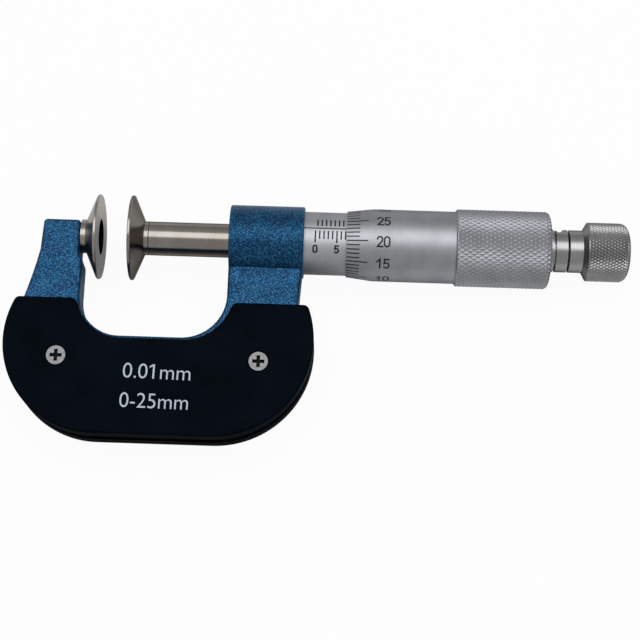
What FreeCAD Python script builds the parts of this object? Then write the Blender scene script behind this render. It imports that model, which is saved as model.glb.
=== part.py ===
import FreeCAD, Part
import Sketcher
import math
import os

# A disc micrometer for 0 to 25 mm, lying on its back.
# +X runs along the spindle, from the anvil to the ratchet, +Y from the bow to the spindle, and
# +Z out of the front cover. The origin is the middle of the anvil's measuring face.
# Lengths are in millimetres, and the spindle stands at the reading that the size "reading" gives.

os.makedirs("parts", exist_ok=True)

# Driving sizes, each set by itself
SIZES = {
    # Scale, measuring range and the opening at which the spindle stands
    "reading": 7.23,
    "measuring_range": 25.0,
    "press_gap": 0.01,
    "running_gap": 0.02,
    "thread_gap": 0.05,
    "seat_gap": 0.05,
    # Measuring discs: flat annular face, thin rim, conical back and a short hub
    "disc_radius": 10.0,
    "disc_rim": 0.7,
    "disc_bevel": 0.15,
    "disc_cone": 2.55,
    "hub_bevel": 0.12,
    "anvil_hub": 1.25,
    "spindle_hub": 1.04,
    "spindle_radius": 4.0,
    "recess_margin": 0.2,
    "recess_depth": 2.0,
    "nose_radius": 2.2,
    "nose_stand": 0.5,
    "anvil_pin_length": 9.4,
    "nose_chamfer": 0.3,
    # Frame: a forged bow with an anvil arm, a spindle arm and a boss
    "frame_thickness": 8.0,
    "frame_edge_round": 0.8,
    "arm_top": 3.0,
    "arm_tip_width": 8.62,
    "arm_bend_out": 0.4,
    "arm_bend_depth": 4.5,
    "arm_flare_radius": 120.0,
    "arm_corner_round": 0.9,
    "arm_step": 0.93,
    "arm_step_top": 5.0,
    "arm_step_length": 2.2,
    "arm_step_round": 2.0,
    "boss_front": 30.65,
    "boss_length": 17.4,
    "boss_wall": 2.49,
    "boss_bevel": 0.25,
    "throat_depth": 24.74,
    "throat_left_corner": 9.6,
    "throat_right_corner": 10.4,
    "arm_seat_depth": 6.5,
    "spindle_arm_inset": 0.2,
    "spindle_arm_taper": 0.6,
    # Covers: two moulded plates on the bow, each with a lip round the bow's outer edge
    "cover_thickness": 2.0,
    "cover_top": 16.65,
    "cover_bevel": 0.4,
    "cover_outer_corner": 1.4,
    "cover_inner_corner": 2.0,
    "cover_margin": 1.05,
    "cover_shift": 0.7,
    "lip_wall": 1.0,
    "lip_depth": 2.4,
    "lip_start": 1.6,
    "lip_gap": 0.1,
    "bow_depth": 48.2,
    "left_arc_x": 1.55,
    "left_arc_radius": 21.7,
    "right_arc_x": 28.3,
    "right_arc_radius": 22.9,
    "web_shoulder": 0.5,
    # Countersunk cross-recess screws that hold the covers
    "screw_left_x": -7.66,
    "screw_right_x": 38.7,
    "screw_drop": 30.4,
    "screw_radius": 1.5,
    "screw_head_radius": 2.2,
    "screw_head_sink": 0.1,
    "screw_head_land": 0.25,
    "screw_length": 5.2,
    "countersink_margin": 0.3,
    "cross_reach": 1.4,
    "cross_half_width": 0.42,
    "cross_depth": 1.0,
    # Guide barrel, pressed into the boss: plain guide in front, split nut behind
    "barrel_recess": 0.25,
    "barrel_wall": 1.25,
    "guide_length": 15.0,
    "barrel_relief": 0.8,
    "stop_gap": 0.3,
    "thread_run": 0.8,
    "nut_length": 13.5,
    "thread_step": 0.45,
    "thread_depth_behind": 0.3,
    "split_length": 7.5,
    "split_width": 0.8,
    "ring_nut_length": 4.2,
    "ring_nut_wall": 1.28,
    "ring_nut_setback": 0.4,
    "ring_slot_width": 1.2,
    "ring_slot_depth": 1.0,
    "sleeve_gap": 0.2,
    # Graduated sleeve on the guide barrel
    "sleeve_wall": 1.38,
    "datum_lead": 2.67,
    "sleeve_hole_radius": 0.9,
    "sleeve_hole_place": 4.0,
    # Spindle: plain part, thread and the taper that carries the thimble
    "spindle_relief": 1.0,
    "spindle_relief_depth": 0.3,
    "thread_tail": 0.6,
    "seat_shoulder": 0.8,
    "seat_length": 9.6,
    "seat_taper": 0.7,
    "spindle_tail": 1.4,
    "spindle_end_gap": 2.17,
    "stem_radius": 2.0,
    "stem_length": 10.6,
    "stem_hole_extra": 0.6,
    # Thimble: bevelled edge, plain drum and knurled grip, turned from one bar
    "thimble_running_gap": 0.1,
    "thimble_edge": 0.22,
    "bevel_length": 6.25,
    "thimble_wall": 1.0,
    "grip_step": 0.6,
    "grip_length": 22.3,
    "grip_front_bevel": 0.35,
    "grip_round_length": 0.95,
    "grip_end_step": 2.1,
    # Ratchet stop: body screwed into the spindle, two toothed wheels, spring and knob
    "flange_radius": 5.0,
    "flange_ring": 0.76,
    "flange_groove": 0.51,
    "flange_groove_depth": 1.2,
    "flange_rear": 2.67,
    "notch_radius": 1.0,
    "notch_depth": 0.7,
    "notch_place": 0.85,
    "notch_turn": 15.0,
    "knob_gap": 0.46,
    "neck_length": 3.15,
    "knob_cone": 1.07,
    "knob_step": 1.93,
    "knob_length": 14.1,
    "knob_round_length": 1.9,
    "knob_end_step": 2.23,
    "neck_wall": 0.7,
    "end_wall": 1.5,
    "counterbore_depth": 1.8,
    "spring_length": 4.16,
    "spring_wire": 0.5,
    "spring_slack": 0.6,
    "spring_turns": 3.0,
    "wheel_gap": 0.3,
    "driver_length": 2.6,
    "tooth_gap": 0.1,
    "tooth_depth": 0.5,
    "tooth_pitch_width": 1.3,
    "driven_length": 2.3,
    "driven_slack": 0.3,
    "key_radius": 0.5,
    "key_inset": 0.6,
    "key_cover": 0.1,
    "end_screw_radius": 0.8,
    "end_screw_length": 4.5,
    "end_screw_head": 1.4,
    "end_slot_width": 0.7,
    "end_slot_depth": 0.7,
}

# Sizes that follow from others
FORMULAS = {
    # Measuring discs: flat annular face, thin rim, conical back and a short hub
    "disc_depth": "disc_rim + disc_cone",
    "recess_radius": "spindle_radius + recess_margin",
    "arm_face": "-(disc_depth + anvil_hub)",
    "anvil_pin_tip": "-(recess_depth - nose_stand)",
    "anvil_pin_end": "anvil_pin_tip - anvil_pin_length",
    "anvil_pin_shoulder": "anvil_pin_tip - nose_chamfer",
    "nose_waist": "nose_radius - nose_chamfer",
    "spindle_shoulder": "reading + disc_depth + spindle_hub",
    "nose_tip": "reading + recess_depth - nose_stand",
    "nose_shoulder": "nose_tip + nose_chamfer",
    "disc_bore": "nose_radius + press_gap",
    "rim_radius": "disc_radius - disc_bevel",
    "hub_end_radius": "spindle_radius - hub_bevel",
    "fixed_face_edge": "-disc_bevel",
    "fixed_rim_edge": "disc_bevel - disc_rim",
    "fixed_rim_back": "-disc_rim",
    "fixed_hub_edge": "arm_face + hub_bevel",
    "fixed_cone_back": "-disc_depth",
    "fixed_recess_floor": "-recess_depth",
    "moving_face_edge": "reading + disc_bevel",
    "moving_rim_back": "reading + disc_rim",
    "moving_rim_edge": "moving_rim_back - disc_bevel",
    "moving_hub_edge": "spindle_shoulder - hub_bevel",
    "spindle_edge": "spindle_shoulder + hub_bevel",
    "moving_cone_back": "reading + disc_depth",
    "moving_recess_floor": "reading + recess_depth",
    # Frame: a forged bow with an anvil arm, a spindle arm and a boss
    "half_thickness": "frame_thickness / 2",
    "arm_tip": "arm_face - arm_tip_width",
    "arm_bend": "arm_tip - arm_bend_out",
    "throat_left": "arm_face + arm_step",
    "arm_step_bottom": "arm_step_top + arm_step_length",
    "throat_left_side_end": "throat_depth - throat_left_corner",
    "throat_right_side_end": "throat_depth - throat_right_corner",
    "throat_floor_left": "throat_left + throat_left_corner",
    "throat_floor_right": "boss_front - throat_right_corner",
    "boss_end": "boss_front + boss_length",
    "boss_front_shoulder": "boss_front + boss_bevel",
    "boss_rear_shoulder": "boss_end - boss_bevel",
    "spindle_arm_upper": "boss_end - spindle_arm_inset",
    "spindle_arm_lower": "spindle_arm_upper - spindle_arm_taper",
    "anvil_bore": "nose_radius + press_gap",
    # Covers: two moulded plates on the bow, each with a lip round the bow's outer edge
    "cover_face": "half_thickness + cover_thickness",
    "left_arc_drop": "bow_depth - left_arc_radius",
    "right_arc_drop": "bow_depth - right_arc_radius",
    "cover_left": "left_arc_x - sqrt(left_arc_radius^2 - (left_arc_drop - cover_top)^2)",
    "cover_right": "right_arc_x + sqrt(right_arc_radius^2 - (right_arc_drop - cover_top)^2)",
    "cover_left_curve": "throat_left_corner + cover_margin",
    "cover_right_curve": "throat_right_corner + cover_margin",
    "cover_left_rise": "cover_top - throat_left_side_end",
    "cover_right_rise": "cover_top - throat_right_side_end",
    "cover_left_reach": "sqrt(cover_left_curve^2 - cover_left_rise^2)",
    "cover_right_reach": "sqrt(cover_right_curve^2 - cover_right_rise^2)",
    "cover_floor_left": "throat_floor_left + cover_shift",
    "cover_floor_right": "throat_floor_right + cover_shift",
    "cover_inner_left": "cover_floor_left - cover_left_reach",
    "cover_inner_right": "cover_floor_right + cover_right_reach",
    "cover_floor": "throat_depth + cover_margin",
    "lip_top": "cover_top + lip_start",
    "lip_left": "left_arc_x - sqrt(left_arc_radius^2 - (left_arc_drop - lip_top)^2)",
    "lip_right": "right_arc_x + sqrt(right_arc_radius^2 - (right_arc_drop - lip_top)^2)",
    "lip_left_radius": "left_arc_radius - lip_wall",
    "lip_right_radius": "right_arc_radius - lip_wall",
    "lip_inner_left": "left_arc_x - sqrt(lip_left_radius^2 - (left_arc_drop - lip_top)^2)",
    "lip_inner_right": "right_arc_x + sqrt(lip_right_radius^2 - (right_arc_drop - lip_top)^2)",
    "lip_floor": "bow_depth - lip_wall",
    "web_left_radius": "lip_left_radius - lip_gap",
    "web_right_radius": "lip_right_radius - lip_gap",
    "web_top": "cover_top + web_shoulder",
    "web_left": "left_arc_x - sqrt(web_left_radius^2 - (left_arc_drop - web_top)^2)",
    "web_right": "right_arc_x + sqrt(web_right_radius^2 - (right_arc_drop - web_top)^2)",
    "web_floor": "lip_floor - lip_gap",
    # Countersunk cross-recess screws that hold the covers
    "screw_spacing": "screw_right_x - screw_left_x",
    "screw_top": "cover_face - screw_head_sink",
    "screw_land_end": "screw_top - screw_head_land",
    "screw_cone_end": "screw_land_end - (screw_head_radius - screw_radius)",
    "screw_end": "screw_top - screw_length",
    "screw_hole": "screw_radius + press_gap",
    "sink_radius": "screw_head_radius + countersink_margin",
    "sink_land_end": "cover_face - screw_head_sink - screw_head_land",
    "sink_cone_end": "sink_land_end - (sink_radius - screw_hole)",
    "cross_floor": "screw_top - cross_depth",
    # Guide barrel, pressed into the boss: plain guide in front, split nut behind
    "barrel_front": "boss_front + barrel_recess",
    "guide_end": "barrel_front + guide_length",
    "guide_bore": "spindle_radius + running_gap",
    "thread_radius": "spindle_radius + thread_step",
    "thread_start": "guide_end + stop_gap + reading",
    "nut_start": "thread_start + measuring_range - reading - thread_run",
    "barrel_end": "nut_start + nut_length",
    "nut_bore": "thread_radius + thread_gap",
    "relief_bore": "thread_radius + thread_depth_behind",
    "barrel_radius": "relief_bore + barrel_wall",
    "split_start": "barrel_end - split_length",
    "split_radius": "barrel_radius - thread_depth_behind",
    "boss_bore": "barrel_radius + press_gap",
    "boss_radius": "boss_bore + boss_wall",
    "boss_face_radius": "boss_radius - boss_bevel",
    "ring_nut_end": "barrel_end - ring_nut_setback",
    "ring_nut_start": "ring_nut_end - ring_nut_length",
    "ring_nut_bore": "split_radius + running_gap",
    "ring_nut_radius": "ring_nut_bore + ring_nut_wall",
    "ring_slot_start": "ring_nut_end - ring_slot_depth",
    "half_split_width": "split_width / 2",
    "half_ring_slot": "ring_slot_width / 2",
    # Graduated sleeve on the guide barrel
    "zero_mark": "boss_end + datum_lead",
    "sleeve_bore": "barrel_radius + running_gap",
    "sleeve_radius": "sleeve_bore + sleeve_wall",
    "sleeve_end": "ring_nut_start - sleeve_gap",
    "sleeve_hole_x": "boss_end + sleeve_hole_place",
    # Spindle: plain part, thread and the taper that carries the thimble
    "plain_end": "thread_start - spindle_relief",
    "relief_radius": "spindle_radius - spindle_relief_depth",
    "thread_end": "barrel_end + reading + thread_tail",
    "seat_start": "thread_end + seat_shoulder",
    "seat_front_radius": "spindle_radius",
    "seat_back_radius": "seat_front_radius - seat_taper",
    "seat_end": "seat_start + seat_length",
    "spindle_end": "seat_end + spindle_tail",
    "thimble_end": "spindle_end + spindle_end_gap",
    "stem_start": "thimble_end - stem_length",
    "stem_hole_start": "stem_start - stem_hole_extra",
    "stem_bore": "stem_radius + thread_gap",
    # Thimble: bevelled edge, plain drum and knurled grip, turned from one bar
    "thimble_front": "zero_mark + reading",
    "thimble_bore": "sleeve_radius + thimble_running_gap",
    "thimble_radius": "thimble_bore + thimble_wall",
    "grip_radius": "thimble_radius + grip_step",
    "grip_end_radius": "grip_radius - grip_end_step",
    "edge_radius": "thimble_bore + thimble_edge",
    "bevel_end": "thimble_front + bevel_length",
    "grip_start": "thimble_end - grip_length",
    "grip_full": "grip_start + grip_front_bevel",
    "grip_round_start": "thimble_end - grip_round_length",
    "grip_round_middle": "thimble_end - 0.3 * grip_round_length",
    "grip_round_waist": "grip_radius - 0.3 * (grip_radius - grip_end_radius)",
    "seat_bore_front": "seat_front_radius + press_gap",
    "seat_bore_back": "seat_back_radius + press_gap",
    # Ratchet stop: body screwed into the spindle, two toothed wheels, spring and knob
    "ring_end": "thimble_end + flange_ring",
    "groove_end": "ring_end + flange_groove",
    "groove_radius": "flange_radius - flange_groove_depth",
    "flange_end": "groove_end + flange_rear",
    "notch_x": "groove_end + notch_place",
    "notch_y": "flange_radius + notch_radius - notch_depth",
    "cavity_radius": "flange_radius - neck_wall",
    "knob_radius": "flange_radius + knob_step",
    "knob_end_radius": "knob_radius - knob_end_step",
    "counterbore_radius": "knob_end_radius - end_wall",
    "knob_front": "flange_end + knob_gap",
    "neck_end": "knob_front + neck_length",
    "cone_end": "neck_end + knob_cone",
    "knob_end": "knob_front + knob_length",
    "knob_round_start": "knob_end - knob_round_length",
    "knob_round_middle": "knob_end - 0.35 * knob_round_length",
    "knob_round_waist": "knob_radius - 0.35 * (knob_radius - knob_end_radius)",
    "counterbore_floor": "knob_end - counterbore_depth",
    "shaft_end": "counterbore_floor + seat_gap",
    "knob_bore": "stem_radius + thread_gap",
    "spring_start": "flange_end + seat_gap",
    "spring_inner_radius": "stem_radius + spring_slack",
    "spring_first_edge": "spring_start + spring_wire",
    "spring_outer_radius": "spring_inner_radius + spring_wire",
    "spring_rise": "spring_length - spring_wire",
    "spring_pitch": "spring_rise / spring_turns",
    "driver_back": "flange_end + 2 * seat_gap + spring_length",
    "driver_front": "driver_back + driver_length",
    "driver_radius": "cavity_radius - wheel_gap",
    "key_reach": "driver_radius - key_inset",
    "driver_floor": "driver_front - tooth_depth",
    "driven_front": "driver_front + tooth_gap",
    "driven_bore": "stem_radius + driven_slack",
    "driven_floor": "driven_front + tooth_depth",
    "driven_back": "driven_front + driven_length",
    "driven_rim": "cavity_radius - press_gap",
    "half_tooth": "tooth_pitch_width / 2",
    "key_x": "driver_back + key_cover + key_radius",
    "key_bore": "key_radius + press_gap",
    "key_slot_half": "key_radius + seat_gap",
    "key_slot_floor": "key_x + key_slot_half",
    "end_screw_head_radius": "counterbore_radius - wheel_gap",
    "end_screw_head_end": "shaft_end + end_screw_head",
    "end_screw_tip": "shaft_end - end_screw_length",
    "end_screw_bore": "end_screw_radius + thread_gap",
    "end_bore_start": "end_screw_tip - stem_hole_extra",
    "end_slot_floor": "end_screw_head_end - end_slot_depth",
    "end_slot_half": "end_slot_width / 2",
}

doc = FreeCAD.newDocument("disc_micrometer")
sheet = doc.addObject("Spreadsheet::Sheet", "sizes")
rows = list(SIZES.items()) + [(name, "=" + text) for name, text in FORMULAS.items()]
for row, (name, content) in enumerate(rows, start=1):
    sheet.set("A%d" % row, name)
    sheet.set("B%d" % row, str(content))
    sheet.setAlias("B%d" % row, name)
doc.recompute()

# Counts that no length changes
TOOTH_COUNT = 12
SPLIT_COUNT = 3
RING_SLOT_COUNT = 2
SCREW_COUNT = 2

# How near counts as the same place, and how a sketch names its origin and a curve's points
NEAR = Part.Precision.approximation()
ORIGIN_POINT = (-1, 1)
START_POINT, END_POINT, CENTRE_POINT = range(1, 4)


def number(term):
    """The value of a size, of minus a size, or of zero."""
    if term == "0":
        return 0.0
    sign = -1.0 if term.startswith("-") else 1.0
    return sign * float(sheet.get(term.lstrip("-")))


def formula(term):
    """The expression that binds a measure to a size in the sheet."""
    return "-sizes." + term[1:] if term.startswith("-") else "sizes." + term


def bind(thing, path, term):
    """Tie one property, or one constraint, to a size."""
    if term != "0":
        thing.setExpression(path, formula(term))


def new_body(name):
    """An empty body whose label names the piece."""
    body = doc.addObject("PartDesign::Body", name)
    body.Label = name
    return body


def origin_part(body, role):
    """A plane or an axis of a body's own origin."""
    return next(item for item in body.Origin.OriginFeatures if item.Role == role)


def outline(body, name, corners, plane="XY_Plane", height="0"):
    """A closed sketch through corners, each (x, y) or (x, y, bend).

    A bend is the radius of the arc from this corner to the next: plain where the outline
    bulges outwards when it is walked anticlockwise, with a minus where it bends inwards.
    """
    sketch = body.newObject("Sketcher::SketchObject", name)
    sketch.AttachmentSupport = (origin_part(body, plane), [""])
    sketch.MapMode = "FlatFace"
    if height != "0":
        sketch.AttachmentOffset.Base.z = number(height)
        bind(sketch, "AttachmentOffset.Base.z", height)
    points = [FreeCAD.Vector(number(corner[0]), number(corner[1]), 0) for corner in corners]
    first_ends = []
    last_ends = []
    bends = []
    for index, corner in enumerate(corners):
        here = points[index]
        after = points[(index + 1) % len(points)]
        if len(corner) == 2:
            sketch.addGeometry(Part.LineSegment(here, after), False)
            first_ends.append(START_POINT)
            last_ends.append(END_POINT)
            bends.append(None)
            continue
        inwards = corner[2].startswith("-")
        radius = number(corner[2].lstrip("-"))
        chord = after - here
        left = FreeCAD.Vector(-chord.y, chord.x, 0).normalize()
        rise = math.sqrt(radius**2 - (chord.Length / 2) ** 2)
        centre = here + chord * 0.5 + left * (-rise if inwards else rise)
        begin, finish = (after, here) if inwards else (here, after)
        circle = Part.Circle(centre, FreeCAD.Vector(0, 0, 1), radius)
        start_angle = math.atan2(begin.y - centre.y, begin.x - centre.x)
        end_angle = math.atan2(finish.y - centre.y, finish.x - centre.x)
        sketch.addGeometry(Part.ArcOfCircle(circle, start_angle, end_angle), False)
        first_ends.append(END_POINT if inwards else START_POINT)
        last_ends.append(START_POINT if inwards else END_POINT)
        bends.append(corner[2].lstrip("-"))
    for index, corner in enumerate(corners):
        after = (index + 1) % len(corners)
        sketch.addConstraint(
            Sketcher.Constraint("Coincident", index, last_ends[index], after, first_ends[after])
        )
    for index, corner in enumerate(corners):
        for kind, term in (("DistanceX", corner[0]), ("DistanceY", corner[1])):
            made = sketch.addConstraint(
                Sketcher.Constraint(
                    kind, *ORIGIN_POINT, index, first_ends[index], number(term)
                )
            )
            bind(sketch, "Constraints[%d]" % made, term)
        if bends[index]:
            made = sketch.addConstraint(
                Sketcher.Constraint("Radius", index, number(bends[index]))
            )
            bind(sketch, "Constraints[%d]" % made, bends[index])
    return sketch


def circles(body, name, centres, radius, plane="XY_Plane"):
    """A sketch of equal circles."""
    sketch = body.newObject("Sketcher::SketchObject", name)
    sketch.AttachmentSupport = (origin_part(body, plane), [""])
    sketch.MapMode = "FlatFace"
    up = FreeCAD.Vector(0, 0, 1)
    for index, (x, y) in enumerate(centres):
        place = FreeCAD.Vector(number(x), number(y), 0)
        sketch.addGeometry(Part.Circle(place, up, number(radius)), False)
        for kind, term in (("DistanceX", x), ("DistanceY", y)):
            made = sketch.addConstraint(
                Sketcher.Constraint(kind, *ORIGIN_POINT, index, CENTRE_POINT, number(term))
            )
            bind(sketch, "Constraints[%d]" % made, term)
        made = sketch.addConstraint(Sketcher.Constraint("Radius", index, number(radius)))
        bind(sketch, "Constraints[%d]" % made, radius)
    return sketch


def turned(body, name, corners, kind="PartDesign::Revolution", axis="H_Axis", plane="XY_Plane"):
    """Material or a cut made by turning an outline about the spindle's axis."""
    sketch = outline(body, name + "_profile", corners, plane)
    feature = body.newObject(kind, name)
    feature.Profile = sketch
    feature.ReferenceAxis = (sketch, [axis])
    feature.Angle = 360
    return feature


def bored(body, name, corners):
    """A cut turned about the spindle's axis."""
    return turned(body, name, corners, "PartDesign::Groove")


def padded(body, name, sketch, length, both_ways=False, reverse=False):
    """Material raised from a sketch."""
    feature = body.newObject("PartDesign::Pad", name)
    feature.Profile = sketch
    feature.SideType = "Symmetric" if both_ways else "One side"
    feature.Reversed = reverse
    bind(feature, "Length", length)
    return feature


def pocketed(body, name, sketch, length=None, both_ways=False, reverse=False):
    """A cut from a sketch, right through where no length is given."""
    feature = body.newObject("PartDesign::Pocket", name)
    feature.Profile = sketch
    feature.Type = "Length" if length else "ThroughAll"
    feature.SideType = "Symmetric" if both_ways else "One side"
    feature.Reversed = reverse
    if length:
        bind(feature, "Length", length)
    return feature


def ring_of(body, name, feature, count):
    """Equal copies of a feature about the spindle's axis."""
    pattern = body.newObject("PartDesign::PolarPattern", name)
    pattern.Originals = [feature]
    pattern.Axis = (origin_part(body, "X_Axis"), [""])
    pattern.Angle = 360
    pattern.Occurrences = count
    body.Tip = pattern
    return pattern


def eased(body, name, base, chosen, size, kind="PartDesign::Fillet", measure="Radius"):
    """A fillet, or a chamfer, on the edges that a test picks."""
    doc.recompute()
    names = [
        "Edge%d" % (index + 1)
        for index, edge in enumerate(base.Shape.Edges)
        if chosen(edge)
    ]
    if not names:
        raise RuntimeError("no edge found for " + name)
    feature = body.newObject(kind, name)
    feature.Base = (base, names)
    bind(feature, measure, size)
    return feature


def at_corner(point, corners):
    """Whether a point stands over one of the corners."""
    return any(
        abs(point.x - number(x)) < NEAR and abs(point.y - number(y)) < NEAR for x, y in corners
    )


def upright_at(*places):
    """A test for edges along Z through any of the places."""

    def test(edge):
        ends = [vertex.Point for vertex in edge.Vertexes]
        return len(ends) == 2 and any(
            all(at_corner(end, [place]) for end in ends) for place in places
        )

    return test


def level_at(height, *hidden_runs):
    """A test for edges at one height, but for those between the corners of a hidden run."""

    def test(edge):
        ends = [vertex.Point for vertex in edge.Vertexes]
        level = all(abs(abs(end.z) - number(height)) < NEAR for end in ends)
        hidden = any(all(at_corner(end, run) for end in ends) for run in hidden_runs)
        return level and not hidden

    return test


def changes_volume(feature, base, grows):
    """Stop if a feature added or cut nothing."""
    doc.recompute()
    change = feature.Shape.Volume - base.Shape.Volume
    if (change > 0) != grows or abs(change) < NEAR:
        raise RuntimeError(feature.Name + " changes nothing")


# Frame: the bow and both arms are one flat forging with rounded edges
frame = new_body("frame")
web_corners = [
    ("arm_tip", "arm_top"),
    ("arm_bend", "-arm_bend_depth", "-arm_flare_radius"),
    ("web_left", "-web_top", "web_left_radius"),
    ("left_arc_x", "-web_floor"),
    ("right_arc_x", "-web_floor", "web_right_radius"),
    ("web_right", "-web_top"),
    ("spindle_arm_lower", "-cover_top"),
    ("spindle_arm_upper", "-arm_seat_depth"),
    ("boss_front", "-arm_seat_depth"),
    ("boss_front", "-throat_right_side_end", "-throat_right_corner"),
    ("throat_floor_right", "-throat_depth"),
    ("throat_floor_left", "-throat_depth", "-throat_left_corner"),
    ("throat_left", "-throat_left_side_end"),
    ("throat_left", "-arm_step_bottom"),
    ("arm_face", "-arm_step_top"),
    ("arm_face", "arm_top"),
]
web = padded(frame, "web", outline(frame, "web_outline", web_corners), "frame_thickness", True)
arm_tip_corners = eased(
    frame,
    "arm_tip_corners",
    web,
    upright_at(("arm_tip", "arm_top")),
    "arm_corner_round",
)
arm_swell = eased(
    frame,
    "arm_swell",
    arm_tip_corners,
    upright_at(("throat_left", "-arm_step_bottom"), ("arm_face", "-arm_step_top")),
    "arm_step_round",
)
under_the_covers = (
    ("web_left", "-web_top"),
    ("left_arc_x", "-web_floor"),
    ("right_arc_x", "-web_floor"),
    ("web_right", "-web_top"),
    ("spindle_arm_lower", "-cover_top"),
)
inside_the_boss = (
    ("spindle_arm_upper", "-arm_seat_depth"),
    ("boss_front", "-arm_seat_depth"),
)
soft_edges = eased(
    frame,
    "soft_edges",
    arm_swell,
    level_at("half_thickness", under_the_covers, inside_the_boss),
    "frame_edge_round",
)

# The boss crosses the top of the spindle arm and is bored for the guide barrel
boss = turned(
    frame,
    "boss",
    [
        ("boss_front", "0"),
        ("boss_end", "0"),
        ("boss_end", "boss_face_radius"),
        ("boss_rear_shoulder", "boss_radius"),
        ("boss_front_shoulder", "boss_radius"),
        ("boss_front", "boss_face_radius"),
    ],
)
changes_volume(boss, soft_edges, True)
barrel_bore = bored(
    frame,
    "barrel_bore",
    [
        ("boss_front", "0"),
        ("boss_end", "0"),
        ("boss_end", "boss_bore"),
        ("boss_front", "boss_bore"),
    ],
)
changes_volume(barrel_bore, boss, False)
anvil_hole = bored(
    frame,
    "anvil_hole",
    [
        ("anvil_pin_end", "0"),
        ("arm_face", "0"),
        ("arm_face", "anvil_bore"),
        ("anvil_pin_end", "anvil_bore"),
    ],
)
changes_volume(anvil_hole, barrel_bore, False)
screw_places = [("screw_left_x", "-screw_drop"), ("screw_right_x", "-screw_drop")]
tapped_holes = pocketed(
    frame,
    "tapped_holes",
    circles(frame, "tapped_circles", screw_places, "screw_hole"),
    "frame_thickness",
    True,
)
changes_volume(tapped_holes, anvil_hole, False)

# Front cover: a flat plate round the throat, with a lip that hides the bow's edge
front_cover = new_body("front_cover")
cover_corners = [
    ("cover_left", "-cover_top", "left_arc_radius"),
    ("left_arc_x", "-bow_depth"),
    ("right_arc_x", "-bow_depth", "right_arc_radius"),
    ("cover_right", "-cover_top"),
    ("cover_inner_right", "-cover_top", "-cover_right_curve"),
    ("cover_floor_right", "-cover_floor"),
    ("cover_floor_left", "-cover_floor", "-cover_left_curve"),
    ("cover_inner_left", "-cover_top"),
]
plate = padded(
    front_cover,
    "plate",
    outline(front_cover, "plate_outline", cover_corners, "XY_Plane", "half_thickness"),
    "cover_thickness",
)
outer_corners = eased(
    front_cover,
    "outer_corners",
    plate,
    upright_at(("cover_left", "-cover_top"), ("cover_right", "-cover_top")),
    "cover_outer_corner",
)
inner_corners = eased(
    front_cover,
    "inner_corners",
    outer_corners,
    upright_at(("cover_inner_left", "-cover_top"), ("cover_inner_right", "-cover_top")),
    "cover_inner_corner",
)
plate_edge = eased(
    front_cover,
    "plate_edge",
    inner_corners,
    level_at("cover_face"),
    "cover_bevel",
    "PartDesign::Chamfer",
    "Size",
)
lip_corners = [
    ("lip_left", "-lip_top", "left_arc_radius"),
    ("left_arc_x", "-bow_depth"),
    ("right_arc_x", "-bow_depth", "right_arc_radius"),
    ("lip_right", "-lip_top"),
    ("lip_inner_right", "-lip_top", "-lip_right_radius"),
    ("right_arc_x", "-lip_floor"),
    ("left_arc_x", "-lip_floor", "-lip_left_radius"),
    ("lip_inner_left", "-lip_top"),
]
lip = padded(
    front_cover,
    "lip",
    outline(front_cover, "lip_outline", lip_corners, "XY_Plane", "half_thickness"),
    "lip_depth",
    False,
    True,
)
changes_volume(lip, plate_edge, True)
last_cut = lip
for side, (screw_x, screw_y) in zip(("left", "right"), screw_places):
    sink = front_cover.newObject("PartDesign::SubtractiveCone", side + "_countersink")
    for path, term in (
        ("Radius1", "screw_hole"),
        ("Radius2", "sink_radius"),
        ("Placement.Base.x", screw_x),
        ("Placement.Base.y", screw_y),
        ("Placement.Base.z", "sink_cone_end"),
    ):
        bind(sink, path, term)
    sink.setExpression("Height", "sizes.sink_land_end - sizes.sink_cone_end")
    mouth = front_cover.newObject("PartDesign::SubtractiveCylinder", side + "_mouth")
    through = front_cover.newObject("PartDesign::SubtractiveCylinder", side + "_screw_hole")
    for hole, radius, floor, top in (
        (mouth, "sink_radius", "sink_land_end", "cover_face"),
        (through, "screw_hole", "half_thickness", "cover_face"),
    ):
        bind(hole, "Radius", radius)
        bind(hole, "Placement.Base.x", screw_x)
        bind(hole, "Placement.Base.y", screw_y)
        bind(hole, "Placement.Base.z", floor)
        hole.setExpression("Height", "sizes.%s - sizes.%s" % (top, floor))
    changes_volume(through, last_cut, False)
    last_cut = through

# Rear cover: the same moulding in the other hand
rear_cover = doc.addObject("Part::Mirroring", "rear_cover")
rear_cover.Label = "rear_cover"
rear_cover.Source = front_cover
rear_cover.Normal = (0, 0, 1)

# Cover screws: countersunk heads with a cross recess, two to a cover
front_cover_screws = new_body("front_cover_screws")
front_cover_screws.AllowCompound = True
bind(front_cover_screws, "Placement.Base.x", "screw_left_x")
bind(front_cover_screws, "Placement.Base.y", "-screw_drop")
screw = turned(
    front_cover_screws,
    "screw",
    [
        ("0", "screw_end"),
        ("screw_radius", "screw_end"),
        ("screw_radius", "screw_cone_end"),
        ("screw_head_radius", "screw_land_end"),
        ("screw_head_radius", "screw_top"),
        ("0", "screw_top"),
    ],
    axis="V_Axis",
    plane="XZ_Plane",
)
cross_corners = [
    ("cross_half_width", "cross_half_width"),
    ("cross_half_width", "cross_reach"),
    ("-cross_half_width", "cross_reach"),
    ("-cross_half_width", "cross_half_width"),
    ("-cross_reach", "cross_half_width"),
    ("-cross_reach", "-cross_half_width"),
    ("-cross_half_width", "-cross_half_width"),
    ("-cross_half_width", "-cross_reach"),
    ("cross_half_width", "-cross_reach"),
    ("cross_half_width", "-cross_half_width"),
    ("cross_reach", "-cross_half_width"),
    ("cross_reach", "cross_half_width"),
]
cross = pocketed(
    front_cover_screws,
    "cross_recess",
    outline(front_cover_screws, "cross_outline", cross_corners, "XY_Plane", "cross_floor"),
    "cross_depth",
    False,
    True,
)
changes_volume(cross, screw, False)
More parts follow.
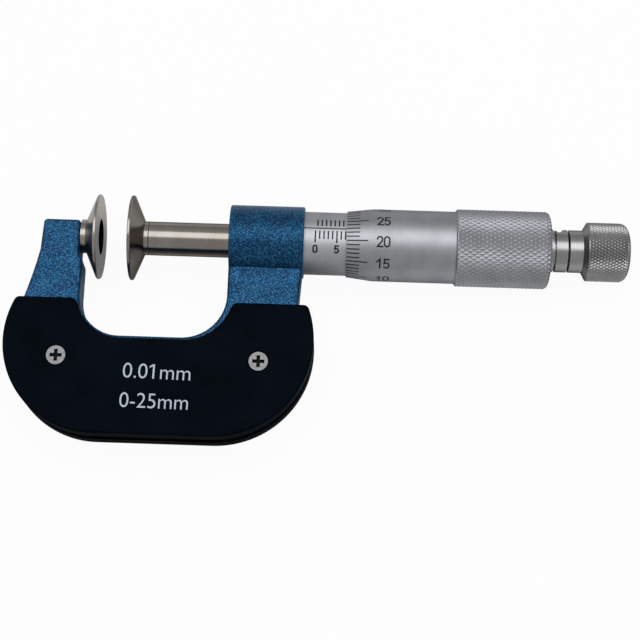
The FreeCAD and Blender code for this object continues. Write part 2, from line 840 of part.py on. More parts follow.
pair = front_cover_screws.newObject("PartDesign::LinearPattern", "screw_pair")
pair.Originals = [screw, cross]
pair.Direction = (origin_part(front_cover_screws, "X_Axis"), [""])
bind(pair, "Length", "screw_spacing")
pair.Occurrences = SCREW_COUNT
front_cover_screws.Tip = pair

rear_cover_screws = doc.addObject("Part::Mirroring", "rear_cover_screws")
rear_cover_screws.Label = "rear_cover_screws"
rear_cover_screws.Source = front_cover_screws
rear_cover_screws.Normal = (0, 0, 1)


# Measuring discs, one on the anvil's pin and one on the spindle's nose
def disc(name, face, side, back):
    """A disc whose face stands at one station and whose hub ends at another."""
    body = new_body(name)
    turned(
        body,
        name + "_turning",
        [
            (face, "recess_radius"),
            (face, "rim_radius"),
            (side + "_face_edge", "disc_radius"),
            (side + "_rim_edge", "disc_radius"),
            (side + "_rim_back", "rim_radius"),
            (side + "_cone_back", "spindle_radius"),
            (side + "_hub_edge", "spindle_radius"),
            (back, "hub_end_radius"),
            (back, "disc_bore"),
            (side + "_recess_floor", "disc_bore"),
            (side + "_recess_floor", "recess_radius"),
        ],
    )
    return body


anvil_disc = disc("anvil_disc", "0", "fixed", "arm_face")
spindle_disc = disc("spindle_disc", "reading", "moving", "spindle_shoulder")

# Pin that carries the fixed disc, pressed into the arm
anvil_pin = new_body("anvil_pin")
turned(
    anvil_pin,
    "anvil_pin_turning",
    [
        ("anvil_pin_end", "0"),
        ("anvil_pin_tip", "0"),
        ("anvil_pin_tip", "nose_waist"),
        ("anvil_pin_shoulder", "nose_radius"),
        ("anvil_pin_end", "nose_radius"),
    ],
)

# Guide barrel with its split nut end, and the ring nut that closes the splits
guide_barrel = new_body("guide_barrel")
barrel = turned(
    guide_barrel,
    "barrel",
    [
        ("barrel_front", "guide_bore"),
        ("guide_end", "guide_bore"),
        ("guide_end", "relief_bore"),
        ("nut_start", "relief_bore"),
        ("nut_start", "nut_bore"),
        ("barrel_end", "nut_bore"),
        ("barrel_end", "split_radius"),
        ("split_start", "split_radius"),
        ("split_start", "barrel_radius"),
        ("barrel_front", "barrel_radius"),
    ],
)
split_slot = pocketed(
    guide_barrel,
    "split_slot",
    outline(
        guide_barrel,
        "split_slot_outline",
        [
            ("split_start", "-half_split_width"),
            ("barrel_end", "-half_split_width"),
            ("barrel_end", "half_split_width"),
            ("split_start", "half_split_width"),
        ],
    ),
    "barrel_radius",
    False,
    True,
)
changes_volume(split_slot, barrel, False)
ring_of(guide_barrel, "split_slots", split_slot, SPLIT_COUNT)

adjusting_nut = new_body("adjusting_nut")
ring_nut = turned(
    adjusting_nut,
    "ring_nut",
    [
        ("ring_nut_start", "ring_nut_bore"),
        ("ring_nut_end", "ring_nut_bore"),
        ("ring_nut_end", "ring_nut_radius"),
        ("ring_nut_start", "ring_nut_radius"),
    ],
)
ring_slot = pocketed(
    adjusting_nut,
    "ring_slot",
    outline(
        adjusting_nut,
        "ring_slot_outline",
        [
            ("ring_slot_start", "-half_ring_slot"),
            ("ring_nut_end", "-half_ring_slot"),
            ("ring_nut_end", "half_ring_slot"),
            ("ring_slot_start", "half_ring_slot"),
        ],
    ),
    "ring_nut_radius",
    False,
    True,
)
changes_volume(ring_slot, ring_nut, False)
ring_of(adjusting_nut, "ring_slots", ring_slot, RING_SLOT_COUNT)

# Graduated sleeve, with the hole at the back that a hook spanner turns it by
sleeve = new_body("sleeve")
sleeve_tube = turned(
    sleeve,
    "sleeve_tube",
    [
        ("boss_end", "sleeve_bore"),
        ("sleeve_end", "sleeve_bore"),
        ("sleeve_end", "sleeve_radius"),
        ("boss_end", "sleeve_radius"),
    ],
)
hook_hole = pocketed(
    sleeve,
    "hook_hole",
    circles(sleeve, "hook_circle", [("sleeve_hole_x", "0")], "sleeve_hole_radius"),
    "sleeve_radius",
)
changes_volume(hook_hole, sleeve_tube, False)

# Spindle: nose for the disc, ground plain part, thread, taper and a hole for the ratchet's stem
spindle = new_body("spindle")
turned(
    spindle,
    "spindle_turning",
    [
        ("nose_tip", "0"),
        ("stem_hole_start", "0"),
        ("stem_hole_start", "stem_bore"),
        ("spindle_end", "stem_bore"),
        ("spindle_end", "seat_back_radius"),
        ("seat_end", "seat_back_radius"),
        ("seat_start", "seat_front_radius"),
        ("thread_end", "seat_front_radius"),
        ("thread_end", "thread_radius"),
        ("thread_start", "thread_radius"),
        ("thread_start", "relief_radius"),
        ("plain_end", "relief_radius"),
        ("plain_end", "spindle_radius"),
        ("spindle_edge", "spindle_radius"),
        ("spindle_shoulder", "hub_end_radius"),
        ("spindle_shoulder", "nose_radius"),
        ("nose_shoulder", "nose_radius"),
        ("nose_tip", "nose_waist"),
    ],
)

# Thimble: a drum over the sleeve, held on the spindle's taper
thimble = new_body("thimble")
turned(
    thimble,
    "thimble_turning",
    [
        ("thimble_front", "thimble_bore"),
        ("seat_start", "thimble_bore"),
        ("seat_start", "seat_bore_front"),
        ("seat_end", "seat_bore_back"),
        ("thimble_end", "seat_bore_back"),
        ("thimble_end", "grip_end_radius"),
        ("grip_round_middle", "grip_round_waist"),
        ("grip_round_start", "grip_radius"),
        ("grip_full", "grip_radius"),
        ("grip_start", "thimble_radius"),
        ("bevel_end", "thimble_radius"),
        ("thimble_front", "edge_radius"),
    ],
)

# Ratchet body: flange against the thimble, stem in the spindle, shaft through the knob
ratchet_body = new_body("ratchet_body")
ratchet_turning = turned(
    ratchet_body,
    "ratchet_turning",
    [
        ("stem_start", "0"),
        ("end_bore_start", "0"),
        ("end_bore_start", "end_screw_bore"),
        ("shaft_end", "end_screw_bore"),
        ("shaft_end", "stem_radius"),
        ("flange_end", "stem_radius"),
        ("flange_end", "flange_radius"),
        ("groove_end", "flange_radius"),
        ("groove_end", "groove_radius"),
        ("ring_end", "groove_radius"),
        ("ring_end", "flange_radius"),
        ("thimble_end", "flange_radius"),
        ("thimble_end", "stem_radius"),
        ("stem_start", "stem_radius"),
    ],
)
notch_circle = circles(ratchet_body, "notch_circle", [("notch_x", "notch_y")], "notch_radius")
notch_circle.AttachmentOffset = FreeCAD.Placement(
    FreeCAD.Vector(),
    FreeCAD.Rotation(FreeCAD.Vector(1, 0, 0), number("notch_turn")),
)
notch_circle.setExpression("AttachmentOffset.Rotation.Angle", "sizes.notch_turn * 1 deg")
spanner_notch = pocketed(
    ratchet_body,
    "spanner_notch",
    notch_circle,
    "flange_radius",
    True,
)
spanner_notch.setExpression("Length", "2 * sizes.flange_radius")
changes_volume(spanner_notch, ratchet_turning, False)
key_hole = pocketed(
    ratchet_body,
    "key_hole",
    circles(ratchet_body, "key_circle", [("key_x", "0")], "key_bore"),
    "stem_radius",
    True,
)
key_hole.setExpression("Length", "2 * sizes.flange_radius")
changes_volume(key_hole, spanner_notch, False)

# Key pin across the shaft, which keeps the driving wheel from turning on it
ratchet_key_pin = new_body("ratchet_key_pin")
key = padded(
    ratchet_key_pin,
    "key",
    circles(ratchet_key_pin, "key_section", [("key_x", "0")], "key_radius"),
    "key_reach",
    True,
)
key.setExpression("Length", "2 * sizes.key_reach")


# Ratchet wheels: crown teeth with one steep and one sloping flank
def toothed(body, blank, name, tip, floor):
    """A ring of saw-tooth gaps in the face that stands at one station."""
    gap = pocketed(
        body,
        name + "_gap",
        outline(
            body,
            name + "_gap_outline",
            [
                (tip, "-half_tooth"),
                (floor, "half_tooth"),
                (tip, "half_tooth"),
            ],
        ),
        "flange_radius",
        False,
        True,
    )
    changes_volume(gap, blank, False)
    return ring_of(body, name + "_gaps", gap, TOOTH_COUNT)


ratchet_driver_wheel = new_body("ratchet_driver_wheel")
driver_blank = turned(
    ratchet_driver_wheel,
    "driver_blank",
    [
        ("driver_back", "knob_bore"),
        ("driver_front", "knob_bore"),
        ("driver_front", "driver_radius"),
        ("driver_back", "driver_radius"),
    ],
)
key_slot = pocketed(
    ratchet_driver_wheel,
    "key_slot",
    outline(
        ratchet_driver_wheel,
        "key_slot_outline",
        [
            ("driver_back", "-key_slot_half"),
            ("key_slot_floor", "-key_slot_half"),
            ("key_slot_floor", "key_slot_half"),
            ("driver_back", "key_slot_half"),
        ],
    ),
    "driver_radius",
    True,
)
key_slot.setExpression("Length", "2 * sizes.flange_radius")
changes_volume(key_slot, driver_blank, False)
toothed(ratchet_driver_wheel, key_slot, "driver", "driver_front", "driver_floor")

ratchet_knob_wheel = new_body("ratchet_knob_wheel")
driven_blank = turned(
    ratchet_knob_wheel,
    "driven_blank",
    [
        ("driven_front", "driven_bore"),
        ("driven_back", "driven_bore"),
        ("driven_back", "driven_rim"),
        ("driven_front", "driven_rim"),
    ],
)
toothed(ratchet_knob_wheel, driven_blank, "driven", "driven_front", "driven_floor")

# Ratchet spring of square wire, coiled round the shaft between the flange and the driving wheel
ratchet_spring = new_body("ratchet_spring")
wire = outline(
    ratchet_spring,
    "wire_section",
    [
        ("spring_start", "spring_inner_radius"),
        ("spring_first_edge", "spring_inner_radius"),
        ("spring_first_edge", "spring_outer_radius"),
        ("spring_start", "spring_outer_radius"),
    ],
)
coil = ratchet_spring.newObject("PartDesign::AdditiveHelix", "coil")
coil.Profile = wire
coil.ReferenceAxis = (wire, ["H_Axis"])
coil.Mode = "pitch-height-angle"
bind(coil, "Pitch", "spring_pitch")
bind(coil, "Height", "spring_rise")

# Ratchet knob: hollow, with a neck, a cone and a knurled rim
ratchet_knob = new_body("ratchet_knob")
turned(
    ratchet_knob,
    "knob_turning",
    [
        ("knob_front", "cavity_radius"),
        ("driven_back", "cavity_radius"),
        ("driven_back", "knob_bore"),
        ("counterbore_floor", "knob_bore"),
        ("counterbore_floor", "counterbore_radius"),
        ("knob_end", "counterbore_radius"),
        ("knob_end", "knob_end_radius"),
        ("knob_round_middle", "knob_round_waist"),
        ("knob_round_start", "knob_radius"),
        ("cone_end", "knob_radius"),
        ("neck_end", "flange_radius"),
        ("knob_front", "flange_radius"),
    ],
)

# End screw that keeps the knob on the shaft
knob_screw = new_body("knob_screw")
knob_screw_turning = turned(
    knob_screw,
    "knob_screw_turning",
    [
        ("end_screw_tip", "0"),
        ("end_screw_head_end", "0"),
        ("end_screw_head_end", "end_screw_head_radius"),
        ("shaft_end", "end_screw_head_radius"),
        ("shaft_end", "end_screw_radius"),
        ("end_screw_tip", "end_screw_radius"),
    ],
)
driver_slot = pocketed(
    knob_screw,
    "driver_slot",
    outline(
        knob_screw,
        "driver_slot_outline",
        [
            ("end_slot_floor", "-end_slot_half"),
            ("end_screw_head_end", "-end_slot_half"),
            ("end_screw_head_end", "end_slot_half"),
            ("end_slot_floor", "end_slot_half"),
        ],
    ),
    "end_screw_head_radius",
    True,
)
driver_slot.setExpression("Length", "2 * sizes.flange_radius")
changes_volume(driver_slot, knob_screw_turning, False)

doc.recompute()

# Every piece is checked, then written under its own name
pieces = [
    frame,
    front_cover,
    rear_cover,
    front_cover_screws,
    rear_cover_screws,
    anvil_disc,
    anvil_pin,
    guide_barrel,
    adjusting_nut,
    sleeve,
    spindle,
    spindle_disc,
    thimble,
    ratchet_body,
    ratchet_key_pin,
    ratchet_spring,
    ratchet_driver_wheel,
    ratchet_knob_wheel,
    ratchet_knob,
    knob_screw,
]
for item in doc.Objects:
    if "Invalid" in item.State or "Error" in item.State:
        raise RuntimeError("%s failed: %s" % (item.Name, item.State))
for piece in pieces:
    if piece.Shape.isNull() or not piece.Shape.isValid():
        raise RuntimeError(piece.Label + " has no valid shape")
    piece.Shape.exportStep("parts/%s.step" % piece.Label)
    print(piece.Label, len(piece.Shape.Solids), round(piece.Shape.Volume, 2))
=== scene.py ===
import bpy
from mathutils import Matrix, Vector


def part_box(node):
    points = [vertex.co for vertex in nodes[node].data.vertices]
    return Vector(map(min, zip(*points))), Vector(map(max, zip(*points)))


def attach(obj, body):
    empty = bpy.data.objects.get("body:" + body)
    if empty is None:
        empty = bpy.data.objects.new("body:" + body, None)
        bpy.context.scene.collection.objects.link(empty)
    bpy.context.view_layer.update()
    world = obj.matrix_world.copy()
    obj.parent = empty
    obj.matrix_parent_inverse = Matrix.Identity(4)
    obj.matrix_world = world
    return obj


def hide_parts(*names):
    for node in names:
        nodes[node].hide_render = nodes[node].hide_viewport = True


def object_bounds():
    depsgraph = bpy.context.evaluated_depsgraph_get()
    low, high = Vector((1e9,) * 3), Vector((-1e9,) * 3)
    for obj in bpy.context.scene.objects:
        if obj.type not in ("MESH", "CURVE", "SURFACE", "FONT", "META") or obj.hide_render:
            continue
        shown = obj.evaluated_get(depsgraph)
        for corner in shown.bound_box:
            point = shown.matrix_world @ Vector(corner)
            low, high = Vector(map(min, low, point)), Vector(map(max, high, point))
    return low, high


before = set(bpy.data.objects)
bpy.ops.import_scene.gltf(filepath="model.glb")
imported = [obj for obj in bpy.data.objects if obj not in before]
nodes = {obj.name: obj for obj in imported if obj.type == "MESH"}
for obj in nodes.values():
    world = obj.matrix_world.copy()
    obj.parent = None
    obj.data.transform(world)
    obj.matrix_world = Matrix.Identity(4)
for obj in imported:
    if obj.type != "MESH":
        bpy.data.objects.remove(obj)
cad_box = [list(corner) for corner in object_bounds()]

import math

import bmesh
import bpy
from mathutils import Euler, Matrix, Vector

MM = 0.001

# Bow: a steel forging whose two arms carry the fixed disc and the spindle's boss, joined by a thin web.
# It is sprayed with blue hammertone paint, which draws together into small dark dimples as it dries and
# leaves brighter flecks of metal powder between them.


def linear(red, green, blue):
    """A colour given in steps of 0 to 255, as a shader takes it."""

    def channel(step):
        part = step / 255
        return part / 12.92 if part <= 0.04045 else ((part + 0.055) / 1.055) ** 2.4

    return channel(red), channel(green), channel(blue), 1.0


def parts_of(material):
    """A finish's node tree, its shader and the object's own coordinates."""
    tree = material.node_tree
    place = tree.nodes.new("ShaderNodeTexCoord").outputs["Object"]
    return tree, tree.nodes["Principled BSDF"], place


def new_finish(name):
    """An empty finish, with its node tree, its shader and the object's own coordinates."""
    material = bpy.data.materials.new(name)
    material.use_nodes = True
    return material, *parts_of(material)


def lumps(tree, place, size, detail=2.0, waviness=0.0):
    """Soft random lumps about as wide as size."""
    noise = tree.nodes.new("ShaderNodeTexNoise")
    noise.inputs["Scale"].default_value = 1 / size
    noise.inputs["Detail"].default_value = detail
    noise.inputs["Distortion"].default_value = waviness
    tree.links.new(place, noise.inputs["Vector"])
    return noise.outputs["Fac"]


def shades(tree, amount, *stops):
    """Blends from colour to colour as the amount passes each stop."""
    ramp = tree.nodes.new("ShaderNodeValToRGB")
    points = ramp.color_ramp.elements
    while len(points) < len(stops):
        points.new(0.5)
    for point, (at, colour) in zip(points, stops):
        point.position = at
        point.color = colour
    tree.links.new(amount, ramp.inputs["Fac"])
    return ramp.outputs["Color"]


def between(tree, amount, low, high):
    """The amount, from 0 to 1, spread from low to high."""
    spread = tree.nodes.new("ShaderNodeMapRange")
    spread.inputs["To Min"].default_value = low
    spread.inputs["To Max"].default_value = high
    tree.links.new(amount, spread.inputs["Value"])
    return spread.outputs["Result"]


def worked_out(tree, operation, *terms):
    """One step of arithmetic on node outputs or plain numbers."""
    step = tree.nodes.new("ShaderNodeMath")
    step.operation = operation
    for socket, term in zip(step.inputs, terms):
        if isinstance(term, (int, float)):
            socket.default_value = term
        else:
            tree.links.new(term, socket)
    return step.outputs["Value"]


def weighted(tree, *parts):
    """The sum of several amounts, each times its weight."""
    total = 0.0
    for amount, weight in parts:
        total = worked_out(tree, "MULTIPLY_ADD", amount, weight, total)
    return total


def raised(tree, shader, height, depth, strength):
    """Gives the surface fine relief of that depth."""
    bump = tree.nodes.new("ShaderNodeBump")
    bump.inputs["Distance"].default_value = depth
    bump.inputs["Strength"].default_value = strength
    tree.links.new(height, bump.inputs["Height"])
    tree.links.new(bump.outputs["Normal"], shader.inputs["Normal"])


def dressed(node, material):
    """Puts one finish on the whole of a CAD node or piece."""
    node.data.materials.clear()
    node.data.materials.append(material)


DIMPLE_WIDTH = 0.40 * MM
WANDER_WIDTH = 0.5 * MM
WANDER_REACH = 0.30 * MM
FLECK_WIDTH = 0.26 * MM
DRIFT_WIDTH = 3.5 * MM
PAINT_RELIEF = 0.04 * MM

paint, tree, shader, place = new_finish("blue_hammertone")
wander = tree.nodes.new("ShaderNodeTexNoise")
wander.inputs["Scale"].default_value = 1 / WANDER_WIDTH
tree.links.new(place, wander.inputs["Vector"])
shaken = tree.nodes.new("ShaderNodeVectorMath")
shaken.operation = "MULTIPLY_ADD"
tree.links.new(wander.outputs["Color"], shaken.inputs[0])
shaken.inputs[1].default_value = (WANDER_REACH, WANDER_REACH, WANDER_REACH)
tree.links.new(place, shaken.inputs[2])
dimple = tree.nodes.new("ShaderNodeTexVoronoi")
dimple.feature = "SMOOTH_F1"
dimple.inputs["Scale"].default_value = 1 / DIMPLE_WIDTH
dimple.inputs["Smoothness"].default_value = 0.3
tree.links.new(shaken.outputs["Vector"], dimple.inputs["Vector"])
fleck = lumps(tree, place, FLECK_WIDTH, 3.0, 0.4)
drift = lumps(tree, place, DRIFT_WIDTH)
speckle = weighted(tree, (dimple.outputs["Distance"], 0.50), (fleck, 0.75), (drift, 0.18))
blues = shades(
    tree,
    speckle,
    (0.615, linear(6, 37, 66)),
    (0.675, linear(12, 54, 88)),
    (0.725, linear(19, 70, 107)),
    (0.775, linear(24, 78, 115)),
    (0.855, linear(42, 98, 136)),
)
tree.links.new(blues, shader.inputs["Base Color"])
tree.links.new(between(tree, fleck, 0.46, 0.34), shader.inputs["Roughness"])
shader.inputs["Metallic"].default_value = 0.5
shader.inputs["Specular IOR Level"].default_value = 0.16
raised(tree, shader, speckle, PAINT_RELIEF, 0.7)
dressed(nodes["frame"], paint)

# Covers: two heat-insulating plates moulded in black plastic, each with a lip that wraps the bow's edge,
# so that the hand doesn't warm the steel. They are satin, with a faint moulded grain.
COVER_GRAIN = 0.35 * MM
COVER_CLOUD = 9 * MM

cover_plastic, tree, shader, place = new_finish("black_cover_plastic")
grain = lumps(tree, place, COVER_GRAIN, 3.0)
cloud = lumps(tree, place, COVER_CLOUD)
blacks = shades(tree, cloud, (0.35, linear(3, 8, 15)), (0.65, linear(6, 13, 22)))
tree.links.new(blacks, shader.inputs["Base Color"])
tree.links.new(between(tree, grain, 0.30, 0.42), shader.inputs["Roughness"])
shader.inputs["Specular IOR Level"].default_value = 0.01
raised(tree, shader, grain, 0.01 * MM, 0.5)
for name in ("front_cover", "rear_cover"):
    dressed(nodes[name], cover_plastic)

# Lettering on the front cover: the reading step and the range, printed in pale ink straight on the
# plastic. Each line runs a little downhill, and the ink is thinner in places.
INK_THICKNESS = 0.012 * MM
INK_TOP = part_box("front_cover")[1].z + INK_THICKNESS
LETTER_HEIGHT = 3.45
LETTER_THINNING = -0.006
ONE_STEM = (0.42, 0.50)
ONE_FLAG = ((0.02, 1.0), (-0.22, 0.86), (-0.22, 0.74), (0.02, 0.86))


def typeset(words):
    """Flat outlines of the words in the built-in typeface, from the line's start, as a mesh."""
    line = bpy.data.curves.new("type", "FONT")
    line.body = words
    line.resolution_u = 8
    line.offset = LETTER_THINNING
    holder = bpy.data.objects.new("type", line)
    bpy.context.scene.collection.objects.link(holder)
    bpy.context.view_layer.update()
    graph = bpy.context.evaluated_depsgraph_get()
    flat = bpy.data.meshes.new_from_object(holder.evaluated_get(graph))
    bpy.data.objects.remove(holder)
    bpy.data.curves.remove(line)
    return flat


def flagged_one(flat, left, width, top):
    """Gives the 1 in 0.01mm the slanting flag that the typeface leaves off."""
    low, high = ONE_STEM
    stem = min(v.co.x for v in flat.vertices if low < (v.co.x - left) / width < high)
    bm = bmesh.new()
    bm.from_mesh(flat)
    bm.faces.new([bm.verts.new((stem + x * top, y * top, 0.0)) for x, y in ONE_FLAG])
    bm.to_mesh(flat)
    bm.free()


def new_piece(name, mesh, body, finish):
    """Puts a mesh in the scene as a piece that moves with a body."""
    piece = bpy.data.objects.new(name, mesh)
    bpy.context.scene.collection.objects.link(piece)
    dressed(piece, finish)
    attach(piece, body)
    return piece


def grained_finish(name, grain, dark, light, gloss, relief, metal=0.0, stops=(0.35, 0.65), shine=0.5):
    """A finish whose tone, gloss and fine relief all follow one grain."""
    material, tree, shader, place = new_finish(name)
    wear = lumps(tree, place, grain, 3.0)
    tone = shades(tree, wear, (stops[0], dark), (stops[1], light))
    tree.links.new(tone, shader.inputs["Base Color"])
    tree.links.new(between(tree, wear, *gloss), shader.inputs["Roughness"])
    shader.inputs["Metallic"].default_value = metal
    shader.inputs["Specular IOR Level"].default_value = shine
    raised(tree, shader, wear, relief, 0.5)
    return material


ink = grained_finish(
    "pale_cover_ink",
    0.25 * MM,
    linear(150, 166, 184),
    linear(196, 208, 222),
    (0.55, 0.40),
    0.006 * MM,
    stops=(0.30, 0.60),
)
for name, words, start, end in (
    ("cover_lettering_step", "0.01mm", Vector((7.95, -35.2)), Vector((23.4, -35.5))),
    ("cover_lettering_range", "0-25mm", Vector((7.6, -42.1)), Vector((23.2, -42.3))),
):
    flat = typeset(words)
    left = min(v.co.x for v in flat.vertices)
    width = max(v.co.x for v in flat.vertices) - left
    top = max(v.co.y for v in flat.vertices)
    if "1" in words:
        flagged_one(flat, left, width, top)
    run = end - start
    onward = run.normalized()
    upward = Vector((-onward.y, onward.x))
    wide = run.length / width
    tall = LETTER_HEIGHT / top
    for v in flat.vertices:
        spot = start + onward * (v.co.x - left) * wide + upward * v.co.y * tall
        v.co = Vector((spot.x * MM, spot.y * MM, INK_TOP))
    new_piece(name, flat, "bow", ink)

# Cover screws: small countersunk steel screws with a cross recess, which hold the covers to the bow.
# They are zinc plated; the bottom of the recess, which no light reaches, is painted dark as shade.
CROSS_FLOOR = 5.75 * MM


def split(tree, place):
    """The X, Y and Z of a place."""
    apart = tree.nodes.new("ShaderNodeSeparateXYZ")
    tree.links.new(place, apart.inputs[0])
    return apart.outputs


def mixed(tree, amount, first, second):
    """Two colours mixed by an amount."""
    mix = tree.nodes.new("ShaderNodeMix")
    mix.data_type = "RGBA"
    for socket, term in ((mix.inputs[0], amount), (mix.inputs[6], first), (mix.inputs[7], second)):
        if isinstance(term, tuple):
            socket.default_value = term
        else:
            tree.links.new(term, socket)
    return mix.outputs[2]


def painted_over(tree, shader, where, colour):
    """Puts another colour over the finish's own, where the mask is 1."""
    base = shader.inputs["Base Color"]
    tree.links.new(mixed(tree, where, base.links[0].from_socket, colour), base)


screw_zinc = grained_finish(
    "screw_zinc_plate",
    0.5 * MM,
    linear(112, 113, 116),
    linear(136, 137, 140),
    (0.40, 0.52),
    0.008 * MM,
    0.9,
)
tree, shader, place = parts_of(screw_zinc)
height = worked_out(tree, "ABSOLUTE", split(tree, place)["Z"])
# Painted shade: below the cross recess's floor height the zinc is painted near-black.
painted_over(tree, shader, worked_out(tree, "LESS_THAN", height, CROSS_FLOOR), linear(14, 15, 17))
for name in ("front_cover_screws", "rear_cover_screws"):
    dressed(nodes[name], screw_zinc)

# Fixed disc: hardened steel, turned with its hub in one piece, then ground and lapped on the measuring
# face, round a recess that is painted dark as shade. Its pin is pressed into the arm.
RECESS_RADIUS = 4.22 * MM
RECESS_DEPTH = 2.05 * MM
FACE_SKIN = 0.03 * MM
GROUND_RING = 0.12 * MM
GROUND_RELIEF = 0.0012 * MM
GROUND_LOOK = (linear(137, 132, 126), linear(150, 146, 140), (0.14, 0.24), GROUND_RING, GROUND_RELIEF)
METAL_CLOUD = 5 * MM
RECESS_SHADE_MOTTLE = 0.5 * MM


def off_axis(tree, y, z):
    """How far a place is from the spindle's axis."""
    squares = worked_out(tree, "MULTIPLY_ADD", y, y, worked_out(tree, "MULTIPLY", z, z))
    return worked_out(tree, "SQRT", squares)


def turned_metal(name, dark, light, gloss, ring, relief, edge=0.35):
    """Metal turned or ground about the spindle's axis: fine rings, and faint clouds of tone."""
    material, tree, shader, place = new_finish(name)
    x, y, z = split(tree, place)
    pair = tree.nodes.new("ShaderNodeCombineXYZ")
    tree.links.new(x, pair.inputs[0])
    tree.links.new(off_axis(tree, y, z), pair.inputs[1])
    rings = lumps(tree, pair.outputs["Vector"], ring, 3.0)
    cloud = lumps(tree, place, METAL_CLOUD, 3.0)
    tone = weighted(tree, (rings, 0.45), (cloud, 0.55))
    tree.links.new(shades(tree, tone, (0.36, dark), (0.64, light)), shader.inputs["Base Color"])
    tree.links.new(between(tree, rings, *gloss), shader.inputs["Roughness"])
    shader.inputs["Metallic"].default_value = 1.0
    shader.inputs["Specular Tint"].default_value = (edge, edge, edge, 1.0)
    raised(tree, shader, rings, relief, 0.6)
    return material


def product(tree, amount, *others):
    """Several amounts multiplied together."""
    for other in others:
        amount = worked_out(tree, "MULTIPLY", amount, other)
    return amount


def darkened_recess(material, start, end):
    """Paints shade into the recess of a disc's face, a mottled near-black, from start to end along X."""
    tree, shader, place = parts_of(material)
    x, y, z = split(tree, place)
    inside = product(
        tree,
        worked_out(tree, "LESS_THAN", off_axis(tree, y, z), RECESS_RADIUS),
        worked_out(tree, "GREATER_THAN", x, start),
        worked_out(tree, "LESS_THAN", x, end),
    )
    # Painted shade: inside the recess the metal is painted a mottled near-black.
    shade_mottle = lumps(tree, place, RECESS_SHADE_MOTTLE, 3.0)
    scale = shades(tree, shade_mottle, (0.3, linear(20, 20, 22)), (0.7, linear(38, 37, 38)))
    painted_over(tree, shader, inside, scale)


ground_steel = turned_metal("ground_steel", *GROUND_LOOK)
lapped_steel = turned_metal(
    "lapped_steel",
    linear(146, 142, 136),
    linear(160, 156, 150),
    (0.20, 0.30),
    GROUND_RING,
    GROUND_RELIEF,
    0.85,
)
# Painted shade in the fixed disc's recess.
darkened_recess(lapped_steel, -RECESS_DEPTH, -FACE_SKIN)
dressed(nodes["anvil_disc"], lapped_steel)
dressed(nodes["anvil_pin"], ground_steel)

# Guide barrel and its ring nut: steel, out of sight in the boss and the thimble. The barrel guides the
# spindle in front and holds its thread behind, where the nut closes the split end to take up wear.
barrel_steel = turned_metal(
    "turned_barrel_steel", linear(128, 126, 122), linear(150, 147, 142), (0.22, 0.36), 0.20 * MM, 0.003 * MM
)
for name in ("guide_barrel", "adjusting_nut"):
    dressed(nodes[name], barrel_steel)

# Sleeve: a thin steel tube with a satin chrome finish, pushed on the barrel. Its scale is engraved and
# filled with black: a long line, a mark each millimetre below it and the half millimetres above it.
RANGE = 25
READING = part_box("spindle_disc")[0].x
ZERO_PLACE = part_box("thimble")[0].x - READING
SLEEVE_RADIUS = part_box("sleeve")[1].y
LINE_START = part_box("sleeve")[0].x
LINE_END = ZERO_PLACE + (RANGE + 1) * MM
LINE_ANGLE = math.radians(11.4)
HALF_LINE = 0.14 * MM / SLEEVE_RADIUS
MARK_LIFT = 0.012 * MM
SLEEVE_MARK = 0.33 * MM
MARK_FOOT, MARK_HEAD = -8.7, 6.6
FIFTH_MARK_FOOT = -15.6
HALF_MARK_FOOT, HALF_MARK_HEAD = 16.2, 31
NUMBER_ANGLE = math.radians(-27)
NUMBER_HEIGHT = 1.62 * MM
NUMBER_STROKE = 0.38 * MM
STRIP_STEP = math.radians(4)
STROKE_STEP = 0.2 * MM
SHARPEST_MITRE = 0.5
CHROME_RING = 0.16 * MM
CHROME_RELIEF = 0.002 * MM

sleeve_chrome = turned_metal(
    "sleeve_satin_chrome",
    linear(166, 169, 173),
    linear(180, 183, 187),
    (0.46, 0.54),
    CHROME_RING,
    CHROME_RELIEF,
)
dressed(nodes["sleeve"], sleeve_chrome)


def on_round(bm, x, angle, radius):
    """A corner on a round surface, at its place along the spindle's axis and its angle round it."""
    return bm.verts.new((x, radius * math.sin(angle), radius * math.cos(angle)))


def fill_strip(bm, ends, angles, radius_at):
    """A strip of black on a round surface, between two places along it and two angles round it."""
    low, high = angles
    steps = max(1, round(abs(high - low) / STRIP_STEP))
    rows = []
    for k in range(steps + 1):
        angle = low + (high - low) * k / steps
        rows.append([on_round(bm, x, angle, radius_at(x)) for x in ends])
    for here, after in zip(rows, rows[1:]):
        bm.faces.new((here[0], after[0], after[1], here[1]))


def arc(centre, across, tall, start, end, steps=9):
    """Points on part of an ellipse, with angles in degrees."""
    angles = [math.radians(start + (end - start) * k / steps) for k in range(steps + 1)]
    return [(centre[0] + across * math.cos(a), centre[1] + tall * math.sin(a)) for a in angles]


FIGURES = {
    "0": arc((0.28, 0.70), 0.28, 0.30, 180, 0) + arc((0.28, 0.30), 0.28, 0.30, 0, -180) + [(0.0, 0.70)],
    "1": [(0.02, 0.72), (0.34, 1.0), (0.34, 0.0)],
    "2": arc((0.28, 0.72), 0.27, 0.28, 170, -35) + [(0.02, 0.0), (0.58, 0.0)],
    "3": [(0.03, 1.0), (0.53, 1.0), (0.26, 0.60)] + arc((0.26, 0.30), 0.29, 0.30, 80, -145),
    "4": [(0.58, 0.27), (0.0, 0.27), (0.38, 1.0), (0.38, 0.0)],
    "5": [(0.53, 1.0), (0.08, 1.0), (0.05, 0.53)] + arc((0.27, 0.31), 0.29, 0.31, 130, -140),
}
FIGURE_WIDTH = 0.58
FIGURE_ADVANCE = 0.76
FIGURE_NARROW = 0.94


def finer(points, step):
    """The same stroke with no two of its points further apart than the step."""
    close = points[:1]
    for here, after in zip(points, points[1:]):
        parts = max(1, math.ceil((after - here).length / step))
        close += [here.lerp(after, k / parts) for k in range(1, parts + 1)]
    return close


